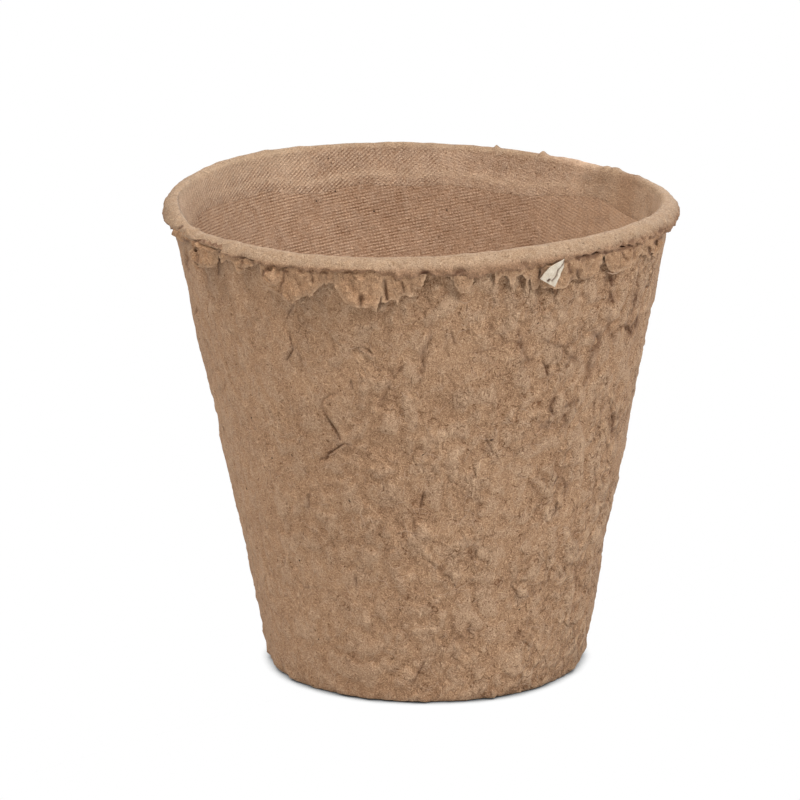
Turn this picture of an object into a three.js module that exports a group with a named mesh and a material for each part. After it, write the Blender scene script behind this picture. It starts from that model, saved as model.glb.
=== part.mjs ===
// Pulp seedling pot: a tapered cup of moulded paper pulp with a raised, drained floor, a thick rounded rim
// and a skirt of torn flash hanging under the rim, split into the zones that the making gives it.
// Millimetres, +Z up, standing on Z = 0. Angles run round the pot from the front (-Y) towards the right (+X).

import * as THREE from 'three';

// Driving dimensions
const HEIGHT = 75; // to the highest point of the rim
const RIM_DIAMETER = 80;
const FOOT_DIAMETER = 50.4;
const WALL = 1.7;
const RIM_THICKNESS = 3.4;
const RIM_OVERHANG = 1.6; // how far the rim stands out past the wall under it
const FOOT_ROUND = 2.6;
const STANDING_RING = 3.4; // width of the flat ring under the foot
const FLOOR_RISE = 1.4; // the floor is pressed up, so the pot stands on its ring
const FLOOR_THICKNESS = 1.7;
const FLOOR_CROWN = 0.5;
const DRAIN_DIAMETER = 9;
const SEAM = 0.1; // gap between two zones that meet

// The crooked shape that the pulp dries to
const LEAN = 0.9; // sideways step from the foot's centre to the rim's
const OUT_OF_ROUND = 0.4; // three shallow lobes at the mouth
const RIM_WAVE = 0.55; // the rim rises and dips by this much, twice round
const LUMP = 0.3; // height of the lumps on the outside

// The torn flash under the rim
const FLASH_THICKNESS = 0.6; // at the root
const FLASH_FEATHER = 0.45; // share of that thickness left at the torn edge
const FLASH_CLEARANCE = 0.35; // from the wall
const FLASH_CURL = 1.6; // power of the outward curl
const FLASH_ROWS = 3;

const ROUND_STEPS = 72;

// Worked out from the driving dimensions
const CREST = HEIGHT - RIM_WAVE; // mean height of the rim's crest
const WALL_TOP = CREST - RIM_THICKNESS;
const WALL_TOP_RADIUS = RIM_DIAMETER / 2 - RIM_OVERHANG;
const FOOT_RADIUS = FOOT_DIAMETER / 2;
const TAPER = (WALL_TOP_RADIUS - FOOT_RADIUS) / (WALL_TOP - FOOT_ROUND);
const WALL_ACROSS = WALL * Math.hypot(1, TAPER); // wall thickness measured level
const RING_OUTER = FOOT_RADIUS - FOOT_ROUND;
const RING_INNER = RING_OUTER - STANDING_RING;

const outerRadius = (height) => FOOT_RADIUS + TAPER * (height - FOOT_ROUND);
const innerRadius = (height) => outerRadius(height) - WALL_ACROSS;
const at = (radius, height) => new THREE.Vector2(radius, height);

// A point of the true round pot, moved to where the crooked pot has it.
function crooked(angle, radius, height) {
  const share = height / CREST;
  const nearRim = THREE.MathUtils.smoothstep(height, 0.5 * CREST, CREST);
  const dried = radius - OUT_OF_ROUND * share * Math.sin(3 * angle);
  return new THREE.Vector3(
    dried * Math.sin(angle) + LEAN * (1 - share) - OUT_OF_ROUND * share,
    -dried * Math.cos(angle),
    height + RIM_WAVE * nearRim * Math.sin(2 * angle),
  );
}

// Lumps of pulp on the outside: broad swells, fading out where the wall meets the foot and the rim.
function lump(angle, height) {
  const fade = THREE.MathUtils.smoothstep(height, FOOT_ROUND, 12)
    * (1 - THREE.MathUtils.smoothstep(height, 56, 65));
  const swell = Math.sin(4 * angle + 0.21 * height) * Math.sin(3 * angle - 0.17 * height);
  const dimple = Math.sin(9 * angle - 0.3 * height) * Math.sin(0.38 * height + 2 * angle);
  return LUMP * fade * (0.6 * swell + 0.4 * dimple);
}

// Turns a half-section, given as curves with their step counts, round the pot's axis and lets it dry crooked.
function revolve(section) {
  const points = section.flatMap(([curve, steps]) => curve.getPoints(steps).slice(1));
  const geometry = new THREE.LatheGeometry([points.at(-1), ...points], ROUND_STEPS);
  geometry.rotateX(Math.PI / 2);
  const position = geometry.getAttribute('position');
  for (let i = 0; i < position.count; i++) {
    const angle = Math.atan2(position.getX(i), -position.getY(i));
    const radius = Math.hypot(position.getX(i), position.getY(i));
    const height = position.getZ(i);
    const outside = radius > outerRadius(height) - WALL_ACROSS / 2 && height < WALL_TOP;
    const point = crooked(angle, radius + (outside ? lump(angle, height) : 0), height);
    position.setXYZ(i, point.x, point.y, point.z);
  }
  return geometry;
}

const line = (from, to) => new THREE.LineCurve(from, to);
const bow = (from, corner, to) => new THREE.QuadraticBezierCurve(from, corner, to);

function pulp(name, geometry, colour, roughness = 0.95) {
  const material = new THREE.MeshStandardMaterial({ color: colour, roughness, metalness: 0 });
  const mesh = new THREE.Mesh(geometry, material);
  mesh.name = name;
  return mesh;
}

// The tapered wall, with its rounded foot turned in to the flat standing ring that carries the floor.
// A low ridge inside, under the rim, is the mark of the forming screen's edge.
function sideWall() {
  const ridgeDrop = 4.6;
  const ridgeHeight = 0.3;
  const ridgeWidth = 1.5;
  const ridge = CREST - ridgeDrop;
  const top = WALL_TOP - SEAM;
  const ringOuter = at(RING_OUTER, 0);
  const footSide = at(FOOT_RADIUS, FOOT_ROUND);
  const ringInner = at(RING_INNER, 0);
  const ledgeInner = at(RING_INNER, FLOOR_RISE);
  const ledgeOuter = at(innerRadius(FLOOR_RISE), FLOOR_RISE);
  const ridgeTop = at(innerRadius(ridge + ridgeWidth / 2), ridge + ridgeWidth / 2);
  const ridgeFoot = at(innerRadius(ridge - ridgeWidth / 2), ridge - ridgeWidth / 2);
  const outerTop = at(outerRadius(top), top);
  const innerTop = at(innerRadius(top), top);
  return revolve([
    [line(ringInner, ringOuter), 1],
    [new THREE.EllipseCurve(RING_OUTER, FOOT_ROUND, FOOT_ROUND, FOOT_ROUND, -Math.PI / 2, 0), 5],
    [line(footSide, outerTop), 16],
    [line(outerTop, innerTop), 1],
    [line(innerTop, ridgeTop), 1],
    [bow(ridgeTop, at(innerRadius(ridge) - 2 * ridgeHeight, ridge), ridgeFoot), 4],
    [line(ridgeFoot, ledgeOuter), 6],
    [line(ledgeOuter, ledgeInner), 1],
    [line(ledgeInner, ringInner), 1],
  ]);
}

// The floor: a crowned panel with a drain hole, resting on the ledge of the standing ring,
// with a cove of pulp round its edge where it turns up into the wall.
function floorPanel() {
  const drainRadius = DRAIN_DIAMETER / 2;
  const drainLip = 0.6; // rounding of the hole's upper edge
  const coveRise = 1.9;
  const coveReach = 3.2;
  const under = FLOOR_RISE + SEAM;
  const top = under + FLOOR_THICKNESS;
  const crownTop = top + FLOOR_CROWN;
  const edgeUnder = at(innerRadius(under) - SEAM, under);
  const edgeTop = at(innerRadius(top + coveRise) - SEAM, top + coveRise);
  const coveCorner = at(innerRadius(top) - SEAM, top);
  const coveFoot = at(coveCorner.x - coveReach, top);
  const drainTop = at(drainRadius + drainLip, crownTop);
  const drainSide = at(drainRadius, crownTop - drainLip);
  const drainUnder = at(drainRadius, under + FLOOR_CROWN);
  const ringSeat = at(RING_INNER, under);
  return revolve([
    [line(ringSeat, edgeUnder), 1],
    [line(edgeUnder, edgeTop), 2],
    [bow(edgeTop, coveCorner, coveFoot), 4],
    [bow(coveFoot, at(coveFoot.x / 2, crownTop), drainTop), 4],
    [bow(drainTop, at(drainRadius, crownTop), drainSide), 2],
    [line(drainSide, drainUnder), 1],
    [bow(drainUnder, at(RING_INNER / 2, under + FLOOR_CROWN), ringSeat), 4],
  ]);
}

// The rim: a thick rounded bead that carries on the flare of the wall's inside and overhangs the outside.
function rolledRim() {
  const radius = RIM_DIAMETER / 2;
  const flare = 0.7; // how far the inside opens over the rim's height
  const underside = 0.8; // width of the rounding under the overhang
  const innerFoot = at(innerRadius(WALL_TOP), WALL_TOP);
  const innerTop = at(innerFoot.x + flare, CREST - 1.3);
  const crest = at(radius - 1.6, CREST);
  const outermost = at(radius, CREST - 1.7);
  const underOuter = at(radius - underside, WALL_TOP);
  const wallSide = at(WALL_TOP_RADIUS, WALL_TOP);
  return revolve([
    [line(innerFoot, wallSide), 1],
    [line(wallSide, underOuter), 1],
    [bow(underOuter, at(radius, WALL_TOP), outermost), 4],
    [bow(outermost, at(radius, CREST), crest), 5],
    [bow(crest, at(innerTop.x, CREST), innerTop), 4],
    [line(innerTop, innerFoot), 1],
  ]);
}

// One torn tongue of flash: a thin divided slab bent round the wall under the rim. Its torn edge is a list of
// [share of the width, drop] points, and towards that edge it thins out and curls away from the wall.
function tornFlap({ from, to, lift, edge, root = 0, standOff = FLASH_CLEARANCE, thickness = FLASH_THICKNESS }) {
  const columns = edge.length - 1;
  const geometry = new THREE.BoxGeometry(1, 1, 1, columns, FLASH_ROWS, 1);
  const position = geometry.getAttribute('position');
  for (let i = 0; i < position.count; i++) {
    const [share, drop] = edge[Math.round((position.getX(i) + 0.5) * columns)];
    const down = 0.5 - position.getY(i);
    const layer = position.getZ(i) + 0.5;
    const angle = THREE.MathUtils.degToRad(from + (to - from) * share);
    const height = WALL_TOP - SEAM - root - (drop - root) * down;
    const feathered = thickness * (1 - (1 - FLASH_FEATHER) * down);
    const off = standOff + lift * down ** FLASH_CURL + layer * feathered;
    const point = crooked(angle, outerRadius(height) + off, height);
    position.setXYZ(i, point.x, point.y, point.z);
  }
  return geometry;
}

// The flaps that show at the front, left to right, as they tore
const FRONT_FLAPS = [
  { from: -79, to: -67.5, lift: 0.5, edge: [[0, 0.8], [0.3, 2.4], [0.55, 1.9], [0.8, 2.8], [1, 1.4]] },
  { from: -66, to: -52, lift: 1.1, edge: [[0, 2.0], [0.15, 3.4], [0.5, 3.9], [0.85, 3.8], [1, 1.6]] },
  { from: -50, to: -41, lift: 0.8, edge: [[0, 0.9], [0.35, 1.8], [0.6, 2.7], [0.8, 1.5], [1, 0.8]] },
  { from: -40, to: -34, lift: 1.3, edge: [[0, 1.6], [0.3, 2.6], [0.75, 3.2], [1, 1.2]] },
  {
    from: -33,
    to: -20,
    lift: 0.9,
    edge: [[0, 1.2], [0.12, 3.2], [0.22, 4.9], [0.45, 3.2], [0.6, 3.9], [0.72, 2.0], [1, 1.6]],
  },
  { from: -19, to: -9, lift: 0.9, edge: [[0, 1.8], [0.2, 3.8], [0.5, 4.9], [0.8, 5.0], [0.93, 5.7], [1, 4.2]] },
  {
    from: -8,
    to: 2,
    lift: 0.7,
    edge: [[0, 4.0], [0.2, 3.4], [0.36, 3.9], [0.48, 2.9], [0.7, 2.9], [0.78, 1.8], [0.92, 1.7], [1, 0.6]],
  },
  { from: 8, to: 12.5, lift: 0.5, edge: [[0, 0.6], [0.25, 1.6], [0.6, 2.0], [1, 0.7]] },
  { from: 19, to: 25, lift: 0.5, edge: [[0, 0.5], [0.25, 2.2], [0.4, 0.9], [0.7, 2.0], [1, 0.7]] },
  { from: 26, to: 38.5, lift: 0.6, edge: [[0, 0.8], [0.2, 2.6], [0.5, 3.1], [0.8, 3.0], [1, 1.4]] },
  { from: 39.5, to: 47, lift: 0.7, edge: [[0, 1.6], [0.3, 3.0], [0.6, 2.2], [1, 1.2]] },
  { from: 48.5, to: 63, lift: 0.6, edge: [[0, 2.0], [0.25, 3.2], [0.5, 2.4], [0.75, 3.6], [1, 1.2]] },
  {
    from: 66,
    to: 82,
    lift: 0.7,
    edge: [[0, 1.0], [0.2, 2.8], [0.35, 1.2], [0.55, 3.8], [0.7, 1.6], [0.9, 3.0], [1, 1.0]],
  },
];

// A repeatable number from 0 to 1 for flap n and trait k
const chance = (n, k) => THREE.MathUtils.euclideanModulo(43758.5453 * Math.sin(12.9898 * n + 78.233 * k), 1);

// The flaps of the side that faces away, torn in the same way: ragged tongues between short bare stretches
function backFlaps() {
  const first = 84;
  const last = 279;
  const count = 12;
  const pitch = (last - first) / count;
  const shallow = 1.6;
  const deep = 5;
  return Array.from({ length: count }, (_, n) => {
    const deepest = THREE.MathUtils.lerp(shallow, deep, chance(n, 1));
    const tip = (share, k) => [share + 0.12 * chance(n, k), deepest * (0.25 + 0.75 * chance(n, k + 1))];
    return {
      from: first + (n + 0.2 * chance(n, 2)) * pitch,
      to: first + (n + 0.7 + 0.25 * chance(n, 3)) * pitch,
      lift: 0.4 + 0.7 * chance(n, 4),
      edge: [[0, 0.7], tip(0.12, 5), tip(0.3, 7), [0.5, deepest], tip(0.6, 9), tip(0.8, 11), [1, 0.7]],
    };
  });
}

// A scrap of white paper that never broke down, caught in the flash at the front right
const PAPER_SCRAP = {
  from: 28.5,
  to: 35.5,
  root: 0.3,
  lift: 0.75,
  standOff: FLASH_CLEARANCE + FLASH_THICKNESS + 0.3,
  thickness: 0.25,
  edge: [[0, 2.2], [0.35, 3.2], [0.7, 2.4], [1, 1.1]],
};

const PULP_WALL = 0x9e7d62;
const PULP_RIM = 0xb6967a;
const PULP_FLASH = 0xa88569;
const PAPER_WHITE = 0xd8cdbb;

const pot = new THREE.Group();
pot.add(pulp('side_wall', sideWall(), PULP_WALL));
pot.add(pulp('floor_panel', floorPanel(), PULP_WALL));
pot.add(pulp('rolled_rim', rolledRim(), PULP_RIM));
[...FRONT_FLAPS, ...backFlaps()].forEach((flap, n) => {
  pot.add(pulp(`torn_flap_${String(n + 1).padStart(2, '0')}`, tornFlap(flap), PULP_FLASH));
});
pot.add(pulp('paper_scrap', tornFlap(PAPER_SCRAP), PAPER_WHITE, 0.8));

export default pot;
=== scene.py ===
import math
import random

import bmesh
import bpy
from mathutils import Matrix, Vector, noise
from mathutils.bvhtree import BVHTree
from mathutils.geometry import delaunay_2d_cdt, intersect_point_line
from mathutils.kdtree import KDTree


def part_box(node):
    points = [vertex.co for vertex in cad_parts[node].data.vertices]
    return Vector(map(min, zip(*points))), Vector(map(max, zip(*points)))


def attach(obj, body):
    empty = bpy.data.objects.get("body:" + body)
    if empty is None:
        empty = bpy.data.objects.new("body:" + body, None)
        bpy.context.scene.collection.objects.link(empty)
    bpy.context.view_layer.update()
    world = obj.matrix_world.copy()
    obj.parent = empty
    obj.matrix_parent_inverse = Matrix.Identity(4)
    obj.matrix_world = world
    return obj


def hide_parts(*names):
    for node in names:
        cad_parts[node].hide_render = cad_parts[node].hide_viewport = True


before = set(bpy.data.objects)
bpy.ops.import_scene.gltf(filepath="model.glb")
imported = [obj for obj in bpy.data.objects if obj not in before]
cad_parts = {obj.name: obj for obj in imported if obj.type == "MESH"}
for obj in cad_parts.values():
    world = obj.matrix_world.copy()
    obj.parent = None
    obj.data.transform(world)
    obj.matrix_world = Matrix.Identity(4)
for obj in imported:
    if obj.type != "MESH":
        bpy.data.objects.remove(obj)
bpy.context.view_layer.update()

# The view
# A long lens a metre in front of the pot and a little above it, so that the far side of the mouth shows over
# the near rim. It is set up first, because marks on the pot are placed where the lens sees them.
MM = 0.001  # the pot is worked out in millimetres, and each finished mesh is then brought to metres
PICTURE = 800  # width and height, in pixels
FOCAL = 6379  # in pixels
DISTANCE = 1000
ELEVATION = math.radians(15.23)
LOOK_AT_HEIGHT = 37.25
LOOK_ASIDE = -3.23  # the middle of the picture lies this far beside the pot's axis
LOOK_UP = 4.47  # and this far above the height looked at

rightward = Vector((1, 0, 0))
upward = Vector((0, math.sin(ELEVATION), math.cos(ELEVATION)))
forward = Vector((0, math.cos(ELEVATION), -math.sin(ELEVATION)))
eye = Vector((LOOK_ASIDE, 0, LOOK_AT_HEIGHT)) + LOOK_UP * upward - DISTANCE * forward

lens = bpy.data.cameras.new("lens")
lens.sensor_width = 36
lens.lens = lens.sensor_width * FOCAL / PICTURE
camera = bpy.data.objects.new("camera", lens)
camera.location = eye * MM
camera.rotation_euler.x = math.pi / 2 - ELEVATION
bpy.context.scene.collection.objects.link(camera)
bpy.context.scene.camera = camera


def sight(pixel):
    """The direction in which the lens sees a pixel, one millimetre deep."""
    across = (pixel[0] - PICTURE / 2) / FOCAL
    down = (pixel[1] - PICTURE / 2) / FOCAL
    return forward + across * rightward - down * upward


def seen_at(point):
    """The pixel at which the lens sees a point."""
    ray = point - eye
    depth = ray.dot(forward)
    return PICTURE / 2 + FOCAL * ray.dot(rightward) / depth, PICTURE / 2 - FOCAL * ray.dot(upward) / depth


# The side wall
# A tapered cup of felted paper pulp, drawn on to a screen by suction and dried. Its inside carries the weave
# of the screen. Its outside is loose felt, lumpy and wrinkled, with slits where it shrank.
rim_low, rim_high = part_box("rolled_rim")
RIM_RADIUS = (rim_high.x - rim_low.x) / 2 / MM
RIM_WAVE = 0.55  # the rim rises and dips by this much, twice round
CREST = rim_high.z / MM - RIM_WAVE
BEAD_HEIGHT = 3.4
WALL_TOP = CREST - BEAD_HEIGHT
WALL_IN_BEAD = 1.3  # how far the wall runs up inside the bead of the rim
OVERHANG = 1.6
FOOT_RADIUS = 25.2
FOOT_ROUND = 2.6
FOOT_EDGE = 1.1  # rounding of the edge that shows
RING_INNER = 19.2  # inside of the flat ring that the pot stands on
FLOOR_RISE = 1.4
WALL_ACROSS = 1.73
TAPER = (RIM_RADIUS - OVERHANG - FOOT_RADIUS) / (WALL_TOP - FOOT_ROUND)
LEAN = 0.9  # sideways step from the foot's centre to the rim's
OUT_OF_ROUND = 0.4


def outer_radius(height):
    return FOOT_RADIUS + TAPER * (height - FOOT_ROUND)


def inner_radius(height):
    return outer_radius(height) - WALL_ACROSS


def smooth(low, high, value):
    """0 up to low, 1 from high, and an even curve between."""
    share = min(1, max(0, (value - low) / (high - low)))
    return share * share * (3 - 2 * share)


def wave_rise(angle, height):
    return RIM_WAVE * smooth(0.5 * CREST, CREST, height) * math.sin(2 * angle)


def crooked(angle, radius, height):
    """A point of the true round pot, moved to where the pot, dried crooked, has it."""
    share = height / CREST
    dried = radius - OUT_OF_ROUND * share * math.sin(3 * angle)
    aside = LEAN * (1 - share) - OUT_OF_ROUND * share
    raised = height + wave_rise(angle, height)
    return Vector((dried * math.sin(angle) + aside, -dried * math.cos(angle), raised))


SIGHT_HALVINGS = 40


def seen_on(pixel, radius_at, far=False):
    """Angle and height where the lens sees a pixel on the pot: on the near outside, or on the far inside."""
    ray = sight(pixel)
    before_pot = -RIM_RADIUS * 1.2
    near_depth = (before_pot - eye.y) / ray.y
    mid_depth = -eye.y / ray.y
    low, high = (mid_depth, 2 * mid_depth - near_depth) if far else (near_depth, mid_depth)
    for _ in range(SIGHT_HALVINGS):
        depth = (low + high) / 2
        point = eye + depth * ray
        share = point.z / CREST
        aside = point.x - LEAN * (1 - share) + OUT_OF_ROUND * share
        angle = math.atan2(aside, -point.y)
        beyond = math.hypot(aside, point.y) + OUT_OF_ROUND * share * math.sin(3 * angle) > radius_at(point.z)
        if beyond == far:
            high = depth
        else:
            low = depth
    return angle, point.z - wave_rise(angle, point.z)


def on_wall(pixel):
    angle, height = seen_on(pixel, outer_radius)
    return crooked(angle, outer_radius(height), height)


LINE_EASE = 0.35  # in radians


def seen_line(pixels, radius_at, far=False):
    """A line on the pot from the pixels where it is seen, as its height at an angle.

    Past its ends it eases away to another height.
    """
    middle = math.pi if far else 0
    marks = sorted(
        ((angle - middle + math.pi) % (2 * math.pi), height)
        for angle, height in (seen_on(pixel, radius_at, far) for pixel in pixels))

    def height_at(angle, elsewhere=0):
        turn = (angle - middle + math.pi) % (2 * math.pi)
        for (low, low_height), (high, high_height) in zip(marks, marks[1:]):
            if low <= turn <= high:
                return low_height + (turn - low) / (high - low) * (high_height - low_height)
        gap, height = min((abs(turn - at), height) for at, height in (marks[0], marks[-1]))
        return elsewhere + (height - elsewhere) * smooth(LINE_EASE, 0, gap)

    return height_at


def outline(corners, rounds, step):
    """A wire half-section from its corners, with some rounded and every stretch divided into short steps."""
    section = bmesh.new()
    points = [section.verts.new((0, -radius, height)) for radius, height in corners]
    section.faces.new(points)
    for corner, offset in rounds.items():
        segments = max(3, round(1.6 * offset / step(points[corner].co)))
        bmesh.ops.bevel(
            section, geom=[points[corner]], offset=offset, segments=segments, profile=0.5, affect="VERTICES",
            material=-1)
    bmesh.ops.delete(section, geom=section.faces[:], context="FACES_ONLY")
    for edge in section.edges[:]:
        middle = (edge.verts[0].co + edge.verts[1].co) / 2
        cuts = round(edge.calc_length() / step(middle)) - 1
        if cuts > 0:
            bmesh.ops.subdivide_edges(section, edges=[edge], cuts=cuts)
    return section


def revolve(section, steps):
    """Turns a wire half-section once round the pot's axis into a closed skin."""
    bmesh.ops.spin(
        section, geom=section.verts[:] + section.edges[:], cent=(0, 0, 0), axis=(0, 0, 1), dvec=(0, 0, 0),
        angle=2 * math.pi, steps=steps, use_merge=True)
    bmesh.ops.remove_doubles(section, verts=section.verts, dist=0.001)
    bmesh.ops.recalc_face_normals(section, faces=section.faces)
    return section


def polar(point):
    return math.atan2(point.x, -point.y), math.hypot(point.x, point.y), point.z


def finish_piece(name, shape, finish, slot, *nodes):
    """Brings a shape to metres and sets it down as a piece of the pot, in place of its nodes."""
    bmesh.ops.scale(shape, vec=(MM, MM, MM), verts=shape.verts)
    mesh = bpy.data.meshes.new(name)
    for face in shape.faces:
        face.smooth = True
    shape.to_mesh(mesh)
    shape.free()
    mesh.materials.append(finish)
    piece = bpy.data.objects.new(name, mesh)
    bpy.context.scene.collection.objects.link(piece)
    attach(piece, "root")
    if nodes:
        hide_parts(*nodes)


# The outside is one skin, closed behind by a plain face half-way through the wall.
FELT_STEP = 0.55
HIDDEN_STEP = 12
FELT_STEPS_ROUND = 500
wall_up = WALL_TOP + WALL_IN_BEAD


def mid_radius(height):
    return outer_radius(height) - WALL_ACROSS / 2


felt = revolve(
    outline(
        [(RING_INNER, 0), (outer_radius(0), 0), (outer_radius(wall_up), wall_up),
         (mid_radius(wall_up), wall_up), (mid_radius(FLOOR_RISE), FLOOR_RISE), (RING_INNER, FLOOR_RISE)],
        {1: FOOT_EDGE},
        lambda point: FELT_STEP if -point.y > outer_radius(point.z) - WALL_ACROSS / 4 else HIDDEN_STEP),
    FELT_STEPS_ROUND)
shade_and_spot_layer = felt.verts.layers.float.new("crease_shade_and_spot")
outside = {}
for vert in felt.verts:
    angle, radius, height = polar(vert.co)
    outside[vert] = radius > outer_radius(height) - WALL_ACROSS / 3 or height < 0.3 * FOOT_ROUND
    vert.co = crooked(angle, radius, height)

# Slits and folds in the felt, as pixel paths, with the depth and width of the groove and the height of the
# lip that the felt makes on the right of the path, or on the left if it is negative.
SLITS = [
    ([(289, 333), (293, 349), (287, 360)], 0.36, 0.16, 0.12),
    ([(293, 306), (286, 318)], 0.3, 0.2, 0.05),
    ([(309, 494), (309, 507)], 0.4, 0.15, 0.0),
    ([(325, 414), (331, 424), (340, 439)], 0.6, 0.17, 0.18),
    ([(354, 445), (344, 444), (336, 449), (328, 454), (327, 458), (320, 460)], 0.34, 0.16, -0.18),
    ([(362, 347), (367, 350), (373, 356)], 0.35, 0.16, 0.12),
    ([(351, 380), (352, 389)], 0.35, 0.15, 0.05),
    ([(543, 362), (547, 369), (547, 375)], 0.5, 0.18, 0.12),
    ([(555, 398), (551, 405), (551, 411), (553, 415)], 0.6, 0.22, 0.2),
    ([(613, 413), (614, 420), (612, 426), (612, 433)], 0.8, 0.24, 0.0),
    ([(557, 503), (555, 513)], 0.45, 0.15, 0.0),
    ([(636, 291), (636, 297), (634, 301), (634, 306), (632, 312)], 1.0, 0.3, 0.08),
    ([(637, 316), (636, 322), (635, 327)], 0.6, 0.26, 0.08),
    ([(355, 574), (356, 586)], 0.3, 0.14, 0.05),
    ([(424, 492), (422, 499), (420, 508)], 0.35, 0.18, 0.1),
    ([(186, 254), (188, 259), (187, 264), (189, 270)], 0.35, 0.15, 0.1),
    ([(196, 253), (194, 260), (198, 267), (204, 270)], 0.25, 0.2, 0.15),
    ([(221, 246), (219, 251), (220, 256), (218.5, 262), (219, 268), (218.5, 275)], 0.4, 0.12, 0.0),
    # This one paints shade on the wall seen through the hole torn in the flash, over a small pressed pit.
    ([(194, 252), (196, 247)], 0.7, 0.35, 0.0),
    ([(425, 660), (413, 684)], 0.2, 0.2, 0.12),
    ([(444, 646), (438, 648)], 0.3, 0.16, 0.05),
    ([(610, 274), (612, 279), (612, 286)], 0.8, 0.3, 0.0),
    ([(611, 292), (612, 298), (613, 302)], 0.6, 0.25, 0.0),
    ([(638, 276), (637, 281), (638, 286)], 0.4, 0.25, 0.0),
]
FOLDS = [
    ([(338, 394), (329, 396), (323, 401), (322, 407), (325, 414)], 0.22, 0.19, -0.16),
    ([(392, 370), (393, 378), (388, 386), (384, 396), (380, 407)], 0.18, 0.25, 0.15),
    ([(431, 325), (430, 334), (429, 342), (423, 350), (421, 357), (423, 367), (419, 378)], 0.27, 0.26, 0.34),
    ([(518, 330), (520, 340), (521, 347), (524, 354), (529, 361)], 0.35, 0.35, 0.25),
    ([(294, 349), (300, 358), (304, 368)], 0.18, 0.19, 0.1),
    ([(564, 479), (566, 486), (565, 494)], 0.3, 0.19, 0.12),
    ([(595, 333), (598, 341), (594, 350)], 0.7, 0.5, 0.15),
    ([(593, 350), (591, 358), (589, 366), (588, 372)], 0.4, 0.22, 0.18),
    ([(532, 483), (537, 494)], 0.25, 0.25, 0.1),
    ([(470, 560), (478, 548), (482, 536)], 0.18, 0.28, 0.12),
    ([(455, 640), (470, 630), (486, 633)], 0.18, 0.28, 0.12),
    ([(566, 406), (572, 404), (578, 401)], 0.3, 0.35, -0.2),
    ([(584, 385), (590, 372), (597, 362)], 0.3, 0.22, 0.1),
    ([(543, 425), (547, 423), (551, 424)], 0.4, 0.45, 0.12),
    ([(564, 416), (566, 420), (564, 425)], 0.35, 0.24, 0.12),
    ([(485, 436), (489, 446), (493, 453)], 0.3, 0.18, 0.22),
    ([(451, 330), (453, 338), (455, 345)], 0.2, 0.2, -0.2),
    ([(483, 350), (488, 357), (496, 363)], 0.2, 0.2, 0.22),
    ([(543, 340), (556, 345), (566, 347), (573, 343)], 0.25, 0.22, -0.22),
    ([(563, 350), (569, 357), (577, 360)], 0.3, 0.35, -0.2),
    ([(393, 378), (399, 371), (404, 366)], 0.2, 0.18, 0.15),
    ([(610, 312), (609, 322), (607, 333)], 0.3, 0.24, 0.12),
    ([(627, 326), (630, 330), (631, 334)], 0.7, 0.34, 0.1),
    ([(614, 332), (615, 341)], 0.35, 0.24, 0.08),
]


def wandering_slits(count, seed, first, last, slit_share):
    """Slits and folds between two angles, in degrees, each a short wandering walk down the wall."""
    draw = random.Random(seed)
    paths = []
    for _ in range(count):
        angle = math.radians(draw.uniform(first, last))
        height = draw.uniform(7, 66)
        heading = draw.gauss(0, 0.6)
        walk = []
        for _ in range(draw.randint(3, 6)):
            walk.append(crooked(angle, outer_radius(height), height))
            stride = draw.uniform(0.8, 1.7)
            angle += stride * math.sin(heading) / outer_radius(height)
            height -= stride * math.cos(heading)
            heading += draw.gauss(0, 0.5)
        deep = draw.random() < slit_share
        depth = draw.uniform(0.3, 0.55) if deep else draw.uniform(0.1, 0.2)
        width = draw.uniform(0.14, 0.2) if deep else draw.uniform(0.2, 0.35)
        paths.append((walk, depth, width, draw.uniform(-0.2, 0.2)))
    return paths


strokes = [([on_wall(pixel) for pixel in path], *groove) for path, *groove in SLITS + FOLDS]
strokes += wandering_slits(44, seed=11, first=72, last=288, slit_share=0.5)
strokes += wandering_slits(34, seed=4, first=0, last=62, slit_share=0)
strokes += wandering_slits(10, seed=9, first=-60, last=0, slit_share=0)


def along(path, step):
    """Points every step along a path."""
    points = []
    for start, end in zip(path, path[1:]):
        count = max(1, round((end - start).length / step))
        points += [start.lerp(end, n / count) for n in range(count)]
    return points + [path[-1]]


def tree_of(points):
    tree = KDTree(len(points))
    for n, point in enumerate(points):
        tree.insert(point, n)
    tree.balance()
    return tree


# The felt is divided finer round each slit, so that its narrow groove has faces to be made of.
SLIT_REACH = 0.7
SLIT_STEP = 0.4
SLIT_CUTS = 2
slit_tree = tree_of([point for path, *_ in strokes for point in along(path, SLIT_STEP)])
near_slit = {vert for vert in felt.verts if outside[vert] and slit_tree.find(vert.co)[2] < SLIT_REACH}
bmesh.ops.subdivide_edges(
    felt, edges=[edge for edge in felt.edges if near_slit.issuperset(edge.verts)], cuts=SLIT_CUTS,
    use_grid_fill=True)
felt.normal_update()


def looseness(point):
    """How loose the felt is, from 0 on the left to 1 on the right."""
    return 0.5 + 0.5 * point.x / max(1, math.hypot(point.x, point.y))


def felt_swell(point):
    return 0.35 * noise.noise(point / 13) + 0.2 * noise.noise(point / 5.2)


FELT_SEED = 3
noise.seed_set(FELT_SEED)  # so that the felt comes out the same each time
CALM_SIDE = 82  # degrees round the pot, where the felt lies flatter
CALM_SPREAD = 14
PILLOW_STRETCH = 1.25


def felt_pillows(point):
    """Height of the felt's pillows, of several sizes, drawn out up the wall, with sharp valleys between."""
    loose = (0.45 + 0.75 * looseness(point)) * (1 + 0.8 * noise.noise(point / 11))
    at_side = math.exp(-((math.degrees(math.atan2(point.x, -point.y)) - CALM_SIDE) / CALM_SPREAD) ** 2)
    drawn_out = Vector((point.x, point.y, point.z / PILLOW_STRETCH))
    warped = drawn_out + 1.3 * noise.noise_vector(point / 4) + 0.5 * noise.noise_vector(point / 1.6)
    pillows = abs(noise.noise(warped / 3.2)) + 0.55 * abs(noise.noise(warped / 1.6)) - 0.4
    return loose * (1 - 0.5 * at_side) * (0.8 * pillows + 0.14 * noise.noise(point / 1.3))


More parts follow.
